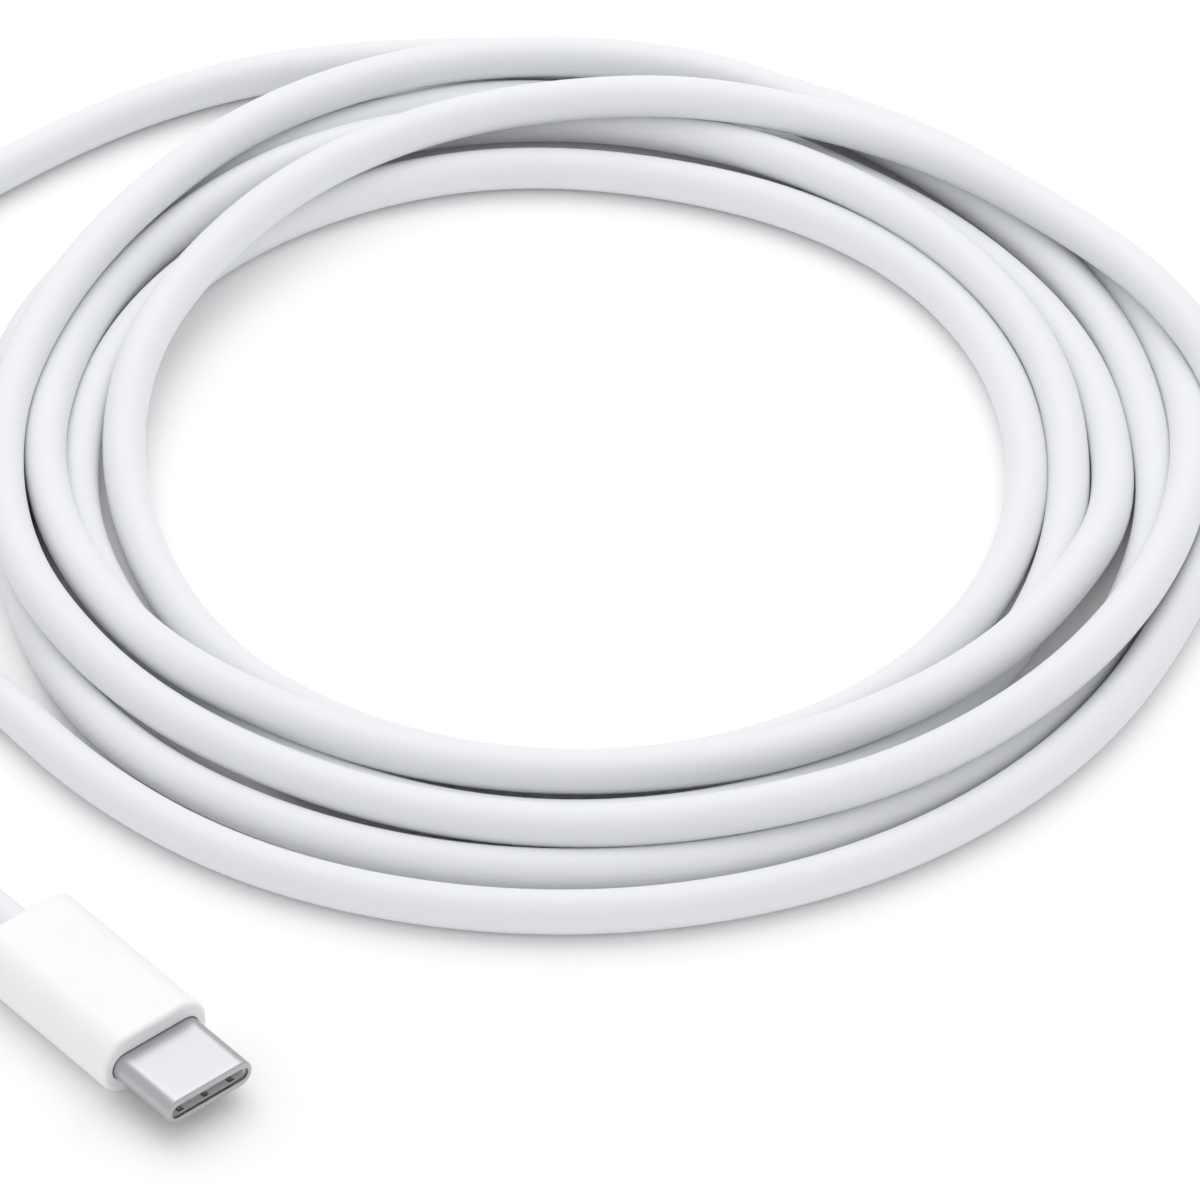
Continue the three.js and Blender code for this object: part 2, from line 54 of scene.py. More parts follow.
# Depths along a plug: the shell's seat in the housing, the housing's rear wall, and how far
# the cord goes in from the rear face to its crimp.
SHELL_SEAT = 0.0055
REAR_WALL = 0.0022
CRIMP_DEPTH = 0.00415

# Spacing of the cord's points: first when it settles, then ring by ring.
SETTLING_STEP = 2.5 * MM
RING_STEP = 1.6 * MM

# Places of the two plugs: centre in plan, and the way the mouth points.
PLUG_CENTRES = {"a": (0.0, 0.0), "b": (-0.07155, 0.02772)}
PLUG_TURNS = {"a": 0.0, "b": math.radians(139.24)}

# Where the cord runs outside the coil, in metres.
LEAD_A_ROUTE = [
    (-0.0165, 0.0, 0.0027),
    (-0.0215, 0.0, 0.0024),
    (-0.0313, 0.0005, 0.0019),
    (-0.0409, 0.0023, 0.0018),
    (-0.0503, 0.0051, 0.0018),
    (-0.0593, 0.0091, 0.0018),
    (-0.0677, 0.0141, 0.0018),
    (-0.0755, 0.0200, 0.0018),
    (-0.0785, 0.0226, 0.0018),
    (-0.0824, 0.0267, 0.0018),
    (-0.0853, 0.0315, 0.0018),
    (-0.0871, 0.0368, 0.0018),
    (-0.0878, 0.0424, 0.0018),
    (-0.0880, 0.0514, 0.0018),
    (-0.0882, 0.0604, 0.0018),
    (-0.0876, 0.0702, 0.0018),
    (-0.0854, 0.0797, 0.0018),
    (-0.0818, 0.0875, 0.0018),
    (-0.0771, 0.0944, 0.0018),
    (-0.0719, 0.1006, 0.0018),
]
LEAD_B_ROUTE = [
    (-0.0603, 0.0182, 0.0025),
    (-0.0573, 0.0166, 0.0022),
    (-0.0521, 0.0154, 0.0019),
]

# The loose coil, turn by turn: at every 20 degrees round the clock, how far out the cord lies
# and how high its middle is, in millimetres. Low places rest on the table, high ones ride over
# another turn. The first turn starts where lead A joins it.
COIL_CENTRE = (-0.02535, 0.0683)
CLOCK_ZERO = 229.24
CLOCK_STEP = 20.0
CLOCK_UNIT = 10.0  # degrees that count as much as a millimetre when the places are joined
FIRST_PLACE = 4
TURNS = [
    [(57.3, 1.8), (54.9, 1.8), (52.8, 1.8), (52.1, 1.8), (51.6, 1.8), (49.8, 3.8),
     (48.3, 5.2), (46.9, 5.2), (45.9, 5.0), (44.4, 4.4), (43.7, 4.0), (43.6, 3.9),
     (44.8, 4.2), (46.4, 5.2)],
    [(46.7, 5.3), (47.1, 5.3), (48.6, 5.3), (51.4, 5.2), (53.3, 4.6), (52.5, 4.3),
     (50.5, 3.0), (49.5, 1.8), (48.0, 1.8), (47.2, 1.8), (46.6, 1.8), (46.6, 1.8),
     (46.5, 1.8), (46.5, 1.8), (46.7, 1.8), (47.2, 1.8), (47.7, 1.8), (46.6, 1.8)],
    [(46.4, 1.8), (49.4, 1.8), (50.2, 1.8), (50.6, 1.8), (51.0, 1.8), (48.6, 1.8),
     (45.6, 1.8), (44.6, 1.8), (44.3, 1.8), (43.6, 1.8), (42.2, 4.3), (41.1, 5.2),
     (39.4, 4.7), (37.7, 4.0), (37.6, 4.0), (38.7, 4.4), (40.6, 4.9), (41.8, 4.5)],
    [(43.3, 4.2), (44.6, 3.0), (46.6, 2.2), (47.4, 2.8), (47.5, 2.2), (45.4, 3.1),
     (42.8, 3.8), (41.7, 3.7), (40.9, 2.7), (39.9, 1.8), (39.9, 1.8), (40.5, 1.8),
     (41.0, 1.8), (40.9, 1.8), (40.9, 1.8), (40.6, 1.8), (39.7, 1.8), (40.1, 1.8)],
    [(40.8, 1.8), (41.4, 1.8), (42.2, 1.8), (42.2, 1.8), (41.7, 1.8), (40.4, 1.8),
     (39.8, 1.8), (39.0, 1.8), (37.8, 1.8), (36.6, 1.8), (35.9, 1.8), (35.5, 1.8),
     (35.2, 1.8), (35.0, 1.8), (35.0, 1.8), (35.1, 1.8), (35.5, 1.8), (35.6, 1.8)],
    [(36.8, 2.4), (38.5, 4.0), (40.2, 4.7), (42.7, 5.2), (45.2, 5.3), (45.8, 6.3),
     (47.8, 5.7), (49.8, 5.3), (52.5, 4.5), (53.0, 2.0), (50.6, 1.8), (50.5, 1.8),
     (50.8, 1.8), (51.1, 1.8), (51.5, 1.8), (52.1, 1.8), (52.3, 1.8), (53.7, 1.8)],
]


class CableSizes(bpy.types.PropertyGroup):
    cord_diameter: FloatProperty(
        name="Cord diameter", description="Thickness of the round cord",
        default=0.0035, unit="LENGTH",
    )
    cord_length: FloatProperty(
        name="Cord length", description="Whole length of the cord, crimp to crimp",
        default=1.8, unit="LENGTH",
    )
    cord_sides: IntProperty(
        name="Cord sides", description="Flats round the cord's section",
        default=24, min=8,
    )
    housing_length: FloatProperty(
        name="Housing length", description="White overmould, back to front",
        default=0.0164, unit="LENGTH",
    )
    housing_width: FloatProperty(
        name="Housing width", description="White overmould, side to side",
        default=0.0101, unit="LENGTH",
    )
    housing_height: FloatProperty(
        name="Housing height", description="White overmould, bottom to top",
        default=0.0055, unit="LENGTH",
    )
    housing_corner: FloatProperty(
        name="Housing corner", description="Radius of the housing's section",
        default=0.0025, unit="LENGTH",
    )
    housing_edge: FloatProperty(
        name="Housing edge", description="Radius round the front and rear faces",
        default=0.0004, unit="LENGTH",
    )
    shell_width: FloatProperty(
        name="Shell width", description="Steel tube, side to side",
        default=0.00825, unit="LENGTH",
    )
    shell_height: FloatProperty(
        name="Shell height", description="Steel tube, bottom to top",
        default=0.0024, unit="LENGTH",
    )
    shell_reach: FloatProperty(
        name="Shell reach", description="How far the tube stands out of the housing",
        default=0.0066, unit="LENGTH",
    )
    shell_wall: FloatProperty(
        name="Shell wall", description="Thickness of the steel",
        default=0.00025, unit="LENGTH",
    )
    mouth_width: FloatProperty(
        name="Mouth width", description="Opening inside the turned lip, side to side",
        default=0.0074, unit="LENGTH",
    )
    mouth_height: FloatProperty(
        name="Mouth height", description="Opening inside the turned lip, bottom to top",
        default=0.0012, unit="LENGTH",
    )


class CableColours(bpy.types.PropertyGroup):
    overmould: FloatVectorProperty(
        name="Overmould", description="Housing plastic",
        subtype="COLOR", size=3, default=(0.89, 0.896, 0.91),
    )
    jacket: FloatVectorProperty(
        name="Cord jacket", description="Soft jacket of the cord",
        subtype="COLOR", size=3, default=(0.805, 0.817, 0.843),
    )
    steel: FloatVectorProperty(
        name="Plug steel", description="Drawn steel of the shells",
        subtype="COLOR", size=3, default=(0.50, 0.505, 0.52),
    )
    spring: FloatVectorProperty(
        name="Spring steel", description="Latch and ground springs",
        subtype="COLOR", size=3, default=(0.50, 0.51, 0.52),
    )
    carrier: FloatVectorProperty(
        name="Carrier", description="Grey insulator in the mouth",
        subtype="COLOR", size=3, default=(0.70, 0.70, 0.71),
    )
    gold: FloatVectorProperty(
        name="Gold plate", description="Plating of the contacts",
        subtype="COLOR", size=3, default=(0.78, 0.55, 0.20),
    )
    floor: FloatVectorProperty(
        name="Floor", description="Pale table top",
        subtype="COLOR", size=3, default=(0.97, 0.97, 0.97),
    )


# ---------------------------------------------------------------- finishes


class Value:
    """A value on its way between shader nodes: arithmetic on it adds Math nodes."""

    def __init__(self, finish, socket):
        self.finish = finish
        self.socket = socket

    def _math(self, operation, first, second):
        return self.finish.node("ShaderNodeMath", {"operation": operation}, {0: first, 1: second})

    def __add__(self, other):
        return self._math("ADD", self, other)

    __radd__ = __add__

    def __sub__(self, other):
        return self._math("SUBTRACT", self, other)

    def __mul__(self, other):
        return self._math("MULTIPLY", self, other)

    def clamped(self):
        return self.finish.node("ShaderNodeClamp", {}, {"Value": self})


class Finish:
    """One material and the nodes in it."""

    def __init__(self, name, **constants):
        self.material = bpy.data.materials.new(name)
        self.material.use_nodes = True
        self.tree = self.material.node_tree
        self.shader = next(node for node in self.tree.nodes if node.type == "BSDF_PRINCIPLED")
        for label, constant in constants.items():
            self.shader.inputs[label.replace("_", " ").title().replace("Ior", "IOR")].default_value = constant

    def node(self, kind, settings, inputs, output=0):
        made = self.tree.nodes.new(kind)
        for label, setting in settings.items():
            if label == "stops":
                ramp = made.color_ramp
                while len(ramp.elements) < len(setting):
                    ramp.elements.new(0.5)
                for element, (position, tone) in zip(ramp.elements, setting):
                    element.position = position
                    element.color = (tone, tone, tone, 1.0)
            else:
                setattr(made, label, setting)
        for label, source in inputs.items():
            self.feed(made.inputs[label], source)
        return Value(self, made.outputs[output])

    def feed(self, socket, source):
        if isinstance(source, Value):
            self.tree.links.new(source.socket, socket)
        elif hasattr(source, "__len__"):
            socket.default_value = tuple(source) + (1.0,) * (len(socket.default_value) - len(source))
        else:
            socket.default_value = source

    def place(self):
        return self.node("ShaderNodeTexCoord", {}, {}, "Object")

    def stretched(self, scale, turn=0.0):
        return self.node(
            "ShaderNodeMapping", {}, {"Vector": self.place(), "Scale": scale, "Rotation": (0.0, 0.0, -turn)}
        )

    def noise(self, scale, detail=3.0, roughness=0.5, at=None):
        where = at if at is not None else self.place()
        sockets = {"Vector": where, "Scale": scale, "Detail": detail, "Roughness": roughness}
        return self.node("ShaderNodeTexNoise", {}, sockets)

    def pits(self, scale, at=None):
        where = at if at is not None else self.place()
        return self.node("ShaderNodeTexVoronoi", {}, {"Vector": where, "Scale": scale}, "Distance")

    def ramp(self, value, *stops):
        return self.node("ShaderNodeValToRGB", {"stops": stops}, {"Fac": value})

    def tones(self, first, second, share):
        return self.node("ShaderNodeMix", {"data_type": "RGBA"}, {0: share, 6: first, 7: second}, 2)

    def colour(self, value):
        self.feed(self.shader.inputs["Base Color"], value)

    def roughness(self, value):
        self.feed(self.shader.inputs["Roughness"], value)

    def relief(self, height, depth):
        bump = self.node("ShaderNodeBump", {}, {"Height": height, "Strength": 1.0, "Distance": depth})
        self.feed(self.shader.inputs["Normal"], bump)


def shade(colour, factor):
    return tuple(min(1.0, channel * factor) for channel in colour)


def moulded_plastic(name, colour, base_roughness, grain, depth):
    """Injection moulded plastic: slow tone drift, fine spark-eroded grain and faint rubbed places."""
    finish = Finish(name, specular_ior_level=0.5)
    drift = finish.noise(180.0, 3.0)
    speckle = finish.noise(grain, 4.0, 0.6)
    rubbed = finish.ramp(finish.noise(420.0, 5.0, 0.65), (0.45, 0.0), (0.72, 1.0))
    share = (drift * 0.7 + speckle * 0.3).clamped()
    finish.colour(finish.tones(shade(colour, 0.965), shade(colour, 1.02), share))
    finish.roughness(base_roughness + (speckle - 0.5) * 0.12 - rubbed * 0.06)
    finish.relief(speckle * 0.7 + finish.pits(grain * 0.6) * 0.3, depth)
    return finish.material


def cord_jacket(colour):
    """Soft extruded jacket: matt skin with a fine grain and a slow change in tone along it."""
    finish = Finish(
        "soft jacket",
        specular_ior_level=0.4,
        subsurface_weight=0.35,
        subsurface_radius=(0.0013, 0.0012, 0.0011),
        subsurface_scale=1.0,
    )
    drift = finish.noise(60.0, 2.0)
    skin = finish.noise(2600.0, 4.0, 0.6)
    fine = finish.noise(9000.0, 2.0, 0.5)
    share = (drift * 0.6 + skin * 0.4).clamped()
    finish.colour(finish.tones(shade(colour, 0.97), shade(colour, 1.02), share))
    finish.roughness(0.52 + (skin - 0.5) * 0.2)
    finish.relief(skin * 0.5 + fine * 0.5, 0.000012)
    return finish.material


def drawn_steel(name, colour, base_roughness, turn, lines):
    """Drawn and tumbled steel: hair lines along the draw (lines says how strong), scuffs and a soft sheen."""
    finish = Finish(name, metallic=1.0)
    along = finish.stretched((250.0, 5200.0, 5200.0), turn)
    hair = finish.noise(1.0, 4.0, 0.6, along)
    cloud = finish.noise(700.0, 3.0, 0.55)
    scuffs = finish.ramp(finish.noise(1500.0, 5.0, 0.7), (0.60, 0.0), (0.74, 1.0))
    share = (hair * 0.5 * lines + cloud * 0.5).clamped()
    finish.colour(finish.tones(shade(colour, 0.93), shade(colour, 1.05), share))
    finish.roughness(base_roughness + (hair - 0.5) * (0.12 * lines) + scuffs * 0.03 + (cloud - 0.5) * 0.04)
    finish.relief(hair * 0.6 + cloud * 0.4, 0.0000006 * lines)
    return finish.material


def gold_plate(colour):
    """Gold over nickel: slightly uneven plating with wiping marks along the beams."""
    finish = Finish("gold plate", metallic=1.0)
    wiped = finish.noise(1.0, 3.0, 0.5, finish.stretched((900.0, 9000.0, 9000.0)))
    patchy = finish.noise(2500.0, 3.0)
    finish.colour(finish.tones(shade(colour, 0.85), shade(colour, 1.1), patchy))
    finish.roughness(0.24 + wiped * 0.14)
    finish.relief(wiped, 0.000002)
    return finish.material


def board_laminate():
    """Green solder resist with the weave of the glass cloth just showing."""
    finish = Finish("solder resist", coat_weight=0.25, coat_roughness=0.2)
    threads = {"Vector": finish.place(), "Scale": 900.0, "Distortion": 0.6}
    weave_x = finish.node("ShaderNodeTexWave", {"bands_direction": "X"}, threads, "Fac")
    weave_y = finish.node("ShaderNodeTexWave", {"bands_direction": "Y"}, threads, "Fac")
    cloth = (weave_x + weave_y) * 0.5
    blotch = finish.noise(800.0, 3.0)
    share = (cloth * 0.5 + blotch * 0.5).clamped()
    finish.colour(finish.tones((0.010, 0.085, 0.035), (0.020, 0.135, 0.060), share))
    finish.roughness(0.38 + blotch * 0.15)
    finish.relief(cloth, 0.000004)
    return finish.material


def tinned_sheet(name):
    """Bright tin over steel with the cloudy spangle of a dipped sheet."""
    finish = Finish(name, metallic=1.0)
    spangle = finish.pits(1800.0)
    cloud = finish.noise(900.0, 4.0)
    share = (spangle * 0.5 + cloud * 0.5).clamped()
    finish.colour(finish.tones((0.47, 0.49, 0.50), (0.66, 0.67, 0.68), share))
    finish.roughness(0.30 + cloud * 0.2)
    finish.relief(cloud, 0.000003)
    return finish.material


def wire_sleeve(name, colour):
    """Extruded wire insulation: a waxy skin with fine lines left by the die."""
    finish = Finish(name, specular_ior_level=0.45)
    lines = finish.noise(1.0, 3.0, 0.5, finish.stretched((400.0, 6000.0, 6000.0)))
    drift = finish.noise(500.0, 2.0)
    finish.colour(finish.tones(shade(colour, 0.85), shade(colour, 1.1), drift))
    finish.roughness(0.42 + lines * 0.15)
    finish.relief(lines, 0.000004)
    return finish.material


def table_top(colour):
    """Plain pale table top."""
    finish = Finish("pale table top", specular_ior_level=0.0)
    finish.colour(finish.tones(shade(colour, 0.995), shade(colour, 1.005), finish.noise(3.0, 2.0)))
    finish.roughness(0.9)
    return finish.material


# ---------------------------------------------------------------- mesh tools


def new_piece(name, bm, finish):
    """Turns a finished bmesh into a smooth-shaded object with one finish."""
    bmesh.ops.recalc_face_normals(bm, faces=bm.faces)
    for face in bm.faces:
        face.smooth = True
    mesh = bpy.data.meshes.new(name)
    bm.to_mesh(mesh)
    bm.free()
    piece = bpy.data.objects.new(name, mesh)
    bpy.context.scene.collection.objects.link(piece)
    mesh.materials.append(finish)
    return piece


def skin(bm, rings, closed):
    """Joins rings of equal count by quads; closed joins the last ring to the first."""
    made = [[bm.verts.new(point) for point in ring] for ring in rings]
    pairs = list(zip(made, made[1:]))
    if closed:
        pairs.append((made[-1], made[0]))
    for first, second in pairs:
        count = len(first)
        for index in range(count):
            after = (index + 1) % count
            bm.faces.new((first[index], first[after], second[after], second[index]))
    return made


HALVINGS = 44  # enough to find an edge to within rounding


def reach(width, height, corner, bearings):
    """Distance from the middle of a round-cornered oblong to its edge, along each bearing."""
    half = np.array([width, height]) / 2
    corner = min(corner, width / 2, height / 2)
    ways = np.stack([np.cos(bearings), np.sin(bearings)], axis=1)
    near = np.zeros(len(bearings))
    far = np.full(len(bearings), width + height)
    for _ in range(HALVINGS):
        middle = (near + far) / 2
        inset = np.abs(ways * middle[:, None]) - (half - corner)
        outside = np.linalg.norm(np.maximum(inset, 0), axis=1) + np.minimum(inset.max(axis=1), 0) > corner
        far = np.where(outside, middle, far)
        near = np.where(outside, near, middle)
    return near


def even_bearings(width, height, corner, count):
    """Bearings that space points evenly round a round-cornered oblong."""
    fine = np.linspace(0, 2 * math.pi, 4001)
    far = reach(width, height, corner, fine)
    edge = np.stack([far * np.cos(fine), far * np.sin(fine)], axis=1)
    run = np.concatenate([[0], np.cumsum(np.linalg.norm(np.diff(edge, axis=0), axis=1))])
    return np.interp(np.linspace(0, run[-1], count, endpoint=False), run, fine)


SMALLEST_CORNER = 0.05 * MM


class Section:
    """Rings along a plug's axis, all with points on the same bearings."""

    def __init__(self, suffix, bearings, axis_height):
        self.bearings = bearings
        self.centre = PLUG_CENTRES[suffix]
        self.turn = PLUG_TURNS[suffix]
        self.axis_height = axis_height
        self.rings = []

    def ring(self, x, width, height, corner):
        far = reach(width, height, corner, self.bearings)
        cosine, sine = math.cos(self.turn), math.sin(self.turn)
        points = []
        for bearing, distance in zip(self.bearings, far):
            y, z = distance * math.cos(bearing), distance * math.sin(bearing)
            points.append((
                self.centre[0] + x * cosine - y * sine,
                self.centre[1] + x * sine + y * cosine,
                self.axis_height + z,
            ))
        self.rings.append(points)

    def rounded_edge(self, x, way, width, height, corner, radius, steps=8):
        """Quarter round at an end face; way is +1 for a front end and -1 for a rear end."""
        turns = range(steps + 1)
        for step in (turns if way > 0 else reversed(turns)):
            angle = math.pi / 2 * step / steps
            inset = radius * (1 - math.cos(angle))
            self.ring(
                x - way * radius * (1 - math.sin(angle)),
                width - 2 * inset,
                height - 2 * inset,
                max(corner - inset, SMALLEST_CORNER),
            )

    def turned_in(self, x, width, height, radius, steps=4):
        """Round where an end face turns into the opening of a flattened-round hole."""
        for step in range(steps + 1):
            angle = math.pi / 2 * step / steps
            grow = 2 * radius * (1 - math.sin(angle))
            self.ring(x - radius * (1 - math.cos(angle)), width + grow, height + grow, (height + grow) / 2)


# ---------------------------------------------------------------- the cord


PARTS_PER_SPAN = 16


def smooth_through(knots, spacing):
    """A smooth line through the knots, with points at even spacing."""
    knots = np.asarray(knots, float)
    run = np.concatenate([[0], np.cumsum(np.linalg.norm(np.diff(knots, axis=0), axis=1))])
    slopes = np.diff(knots, axis=0) / np.diff(run)[:, None]
    before, after = np.diff(run)[:-1, None], np.diff(run)[1:, None]
    middle = (slopes[:-1] * after + slopes[1:] * before) / (before + after)
    tangents = np.vstack([slopes[:1], middle, slopes[-1:]])
    share = np.linspace(0, 1, PARTS_PER_SPAN, endpoint=False)[:, None]
    pieces = []
    for index in range(len(knots) - 1):
        span = run[index + 1] - run[index]
        pieces.append(
            (2 * share**3 - 3 * share**2 + 1) * knots[index]
            + (share**3 - 2 * share**2 + share) * span * tangents[index]
            + (3 * share**2 - 2 * share**3) * knots[index + 1]
            + (share**3 - share**2) * span * tangents[index + 1]
        )
    fine = np.vstack(pieces + [knots[-1:]])
    along = np.concatenate([[0], np.cumsum(np.linalg.norm(np.diff(fine, axis=0), axis=1))])
    places = np.linspace(0, along[-1], int(round(along[-1] / spacing)) + 1)
    return np.stack([np.interp(places, along, fine[:, axis]) for axis in range(3)], axis=1)


def coil_line():
    """Points round the coil, six turns, worked out from how each turn lies."""
    stations = []
    for turn in TURNS:
        for radius, height in turn:
            clock = (FIRST_PLACE + len(stations)) * CLOCK_STEP
            stations.append((clock / CLOCK_UNIT, radius, height))
    even = smooth_through(stations, 1.0)
    bearing = np.radians(CLOCK_ZERO - even[:, 0] * CLOCK_UNIT)
    out = even[:, 1] * MM
    x = COIL_CENTRE[0] + out * np.cos(bearing)
    y = COIL_CENTRE[1] + out * np.sin(bearing)
    return np.stack([x, y, even[:, 2] * MM], axis=1)[:-1]


# How the cord settles: how many rounds, how many points stay put at each end, how many points
# along count as the same stretch, and how strongly it is pushed, evened and drawn home.
ROUNDS, LAST_ROUNDS, HELD_POINTS, SAME_STRETCH = 70, 15, 8, 5
PUSH, EVEN_OUT, DRAW_HOME = 0.7, 0.25, 0.04
FLOOR_GAP = 0.03 * MM


def settled(line, diameter):
    """Lets the turns come to rest: turns that touch push apart, bends even out, nothing sinks."""
    home = line.copy()
    line = line.copy()
    order = np.arange(len(line))
    free = np.ones((len(line), 1))
    free[:HELD_POINTS] = free[-HELD_POINTS:] = 0
    same_run = np.abs(order[:, None] - order[None, :]) < SAME_STRETCH
    for step in range(ROUNDS):
        gap = line[:, None] - line[None]
        distance = np.sqrt((gap**2).sum(axis=2))
        distance[same_run] = 1.0
        depth = np.clip(diameter - distance, 0, None)
        push = (gap * (depth / distance)[..., None]).sum(axis=1)
        touching = np.maximum((depth > 0).sum(axis=1), 1)[:, None]
        line += free * PUSH * push / touching
        bend = np.zeros_like(line)
        bend[1:-1] = (line[:-2] + line[2:]) / 2 - line[1:-1]
        even = bend.copy()
        even[1:-1] -= (bend[:-2] + bend[2:]) / 2
        line += free * EVEN_OUT * even
        if step < ROUNDS - LAST_ROUNDS:
            line += free * DRAW_HOME * (home - line)
        line[:, 2] = np.maximum(line[:, 2], diameter / 2 + FLOOR_GAP)
    return line


def plug_point(suffix, x, height):
    """A point on a plug's axis, x along it from the plug's middle."""
    centre, turn = PLUG_CENTRES[suffix], PLUG_TURNS[suffix]
    return (centre[0] + x * math.cos(turn), centre[1] + x * math.sin(turn), height)


def tube_along(bm, line, radius, sides):
    """A closed round tube whose rings don't twist."""
    ways = np.gradient(line, axis=0)
    ways /= np.linalg.norm(ways, axis=1)[:, None]
    up = np.cross(ways[0], (0.0, 1.0, 0.0))
    angles = [2 * math.pi * k / sides for k in range(sides)]
    rings = []
    for point, way in zip(line, ways):
        up = up - way * np.dot(up, way)
        up /= np.linalg.norm(up)
        side = np.cross(way, up)
        rings.append([point + radius * (math.cos(angle) * up + math.sin(angle) * side) for angle in angles])
    made = skin(bm, rings, closed=False)
    bm.faces.new(list(reversed(made[0])))
    bm.faces.new(made[-1])


class CABLE_OT_place_camera(bpy.types.Operator):
    """Sets the camera above and to one side of plug A, looking over it at the coil"""

    bl_idname = "cable.place_camera"
    bl_label = "Place camera"

    def execute(self, context):
        turn, tilt, distance = math.radians(49.24), math.radians(41.02), 0.7793
        target = Vector((-0.014775, 0.061573, 0.0))
        look = Vector((-math.sin(turn) * math.cos(tilt), math.cos(turn) * math.cos(tilt), -math.sin(tilt)))
        data = bpy.data.cameras.new("camera")
        data.sensor_width = 36.0
        data.lens = 290.1
        data.clip_start = 0.01
        camera = bpy.data.objects.new("camera", data)
        camera.location = target - look * distance
        camera.rotation_euler = look.to_track_quat("-Z", "Y").to_euler()
        context.scene.collection.objects.link(camera)
        context.scene.camera = camera
        return {"FINISHED"}


class CABLE_OT_lay_cord(bpy.types.Operator):
    """Lays the cord from plug A, round the loose coil and back to plug B"""

    bl_idname = "cable.lay_cord"
    bl_label = "Lay cord"

    def execute(self, context):
        sizes, colours = context.scene.cable_sizes, context.scene.cable_colours
        axis = sizes.housing_height / 2
        rear = (sizes.shell_reach + sizes.housing_length) / 2 - sizes.shell_reach - sizes.housing_length
        crimp = rear + CRIMP_DEPTH
        knots = [plug_point("a", crimp, axis), plug_point("a", rear, axis)]
        knots += LEAD_A_ROUTE[:-1]
        knots += list(coil_line())
        knots += list(reversed(LEAD_B_ROUTE))
        knots += [plug_point("b", rear, axis), plug_point("b", crimp, axis)]
        coarse = smooth_through(knots, SETTLING_STEP)
        line = smooth_through(settled(coarse, sizes.cord_diameter), RING_STEP)
        bm = bmesh.new()
        tube_along(bm, line, sizes.cord_diameter / 2, sizes.cord_sides)
        cord = new_piece("cable_cord", bm, cord_jacket(colours.jacket))
        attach(cord, BODY)
        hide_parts("cable_lead_a", "cable_coil", "cable_lead_b")
        return {"FINISHED"}


class CABLE_OT_mould_housings(bpy.types.Operator):
    """Moulds the white housing of each plug, open at the front for the shell and at the back for the cord"""

    bl_idname = "cable.mould_housings"
    bl_label = "Mould housings"

    def execute(self, context):
        sizes, colours = context.scene.cable_sizes, context.scene.cable_colours
        width, height = sizes.housing_width, sizes.housing_height
        corner, edge = sizes.housing_corner, sizes.housing_edge
        front = (sizes.housing_length - sizes.shell_reach) / 2
        rear = front - sizes.housing_length
        shell_rear = front - SHELL_SEAT
        cavity_rear = rear + REAR_WALL
        shell_gap, cord_gap, lip, seat_step = 0.0001, 0.0003, 0.0001, 0.00005
        side_walls, top_and_bottom, corner_wall = 0.0016, 0.0015, 0.0008
        hole = (sizes.shell_width + shell_gap, sizes.shell_height + shell_gap)
        cavity = (width - side_walls, height - top_and_bottom, corner - corner_wall)
        bore = sizes.cord_diameter + cord_gap
        finish = moulded_plastic("white overmould", colours.overmould, 0.36, 5200.0, 0.000008)
        bearings = even_bearings(width, height, corner, 168)
        for suffix in PLUG_CENTRES:
            wall = Section(suffix, bearings, height / 2)
            wall.rounded_edge(rear, -1, width, height, corner, edge)
            for share in np.linspace(0.02, 0.98, 11):
                wall.ring(rear + edge + (sizes.housing_length - 2 * edge) * share, width, height, corner)
            wall.rounded_edge(front, 1, width, height, corner, edge)
            wall.ring(front, hole[0] + 4 * lip, hole[1] + 4 * lip, hole[1] / 2 + 2 * lip)
            wall.turned_in(front, *hole, lip)
            wall.ring(shell_rear, *hole, hole[1] / 2)
            wall.ring(shell_rear - seat_step, *cavity)
            wall.ring(cavity_rear, *cavity)
            # The bore for the cord, back to the rear face: place, and how much wider than the bore it is.
            for x, wider in (
                (cavity_rear, 0.0005),
                (cavity_rear - 0.0001, 0.0),
                (rear + 0.00015, 0.0),
                (rear + 0.00004, 0.00006),
                (rear, 0.0003),
            ):
                wall.ring(x, bore + wider, bore + wider, bore)
            bm = bmesh.new()
            skin(bm, wall.rings, closed=True)
            housing = new_piece("plug_housing_" + suffix, bm, finish)
            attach(housing, BODY)
            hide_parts("housing_" + suffix)
        return {"FINISHED"}


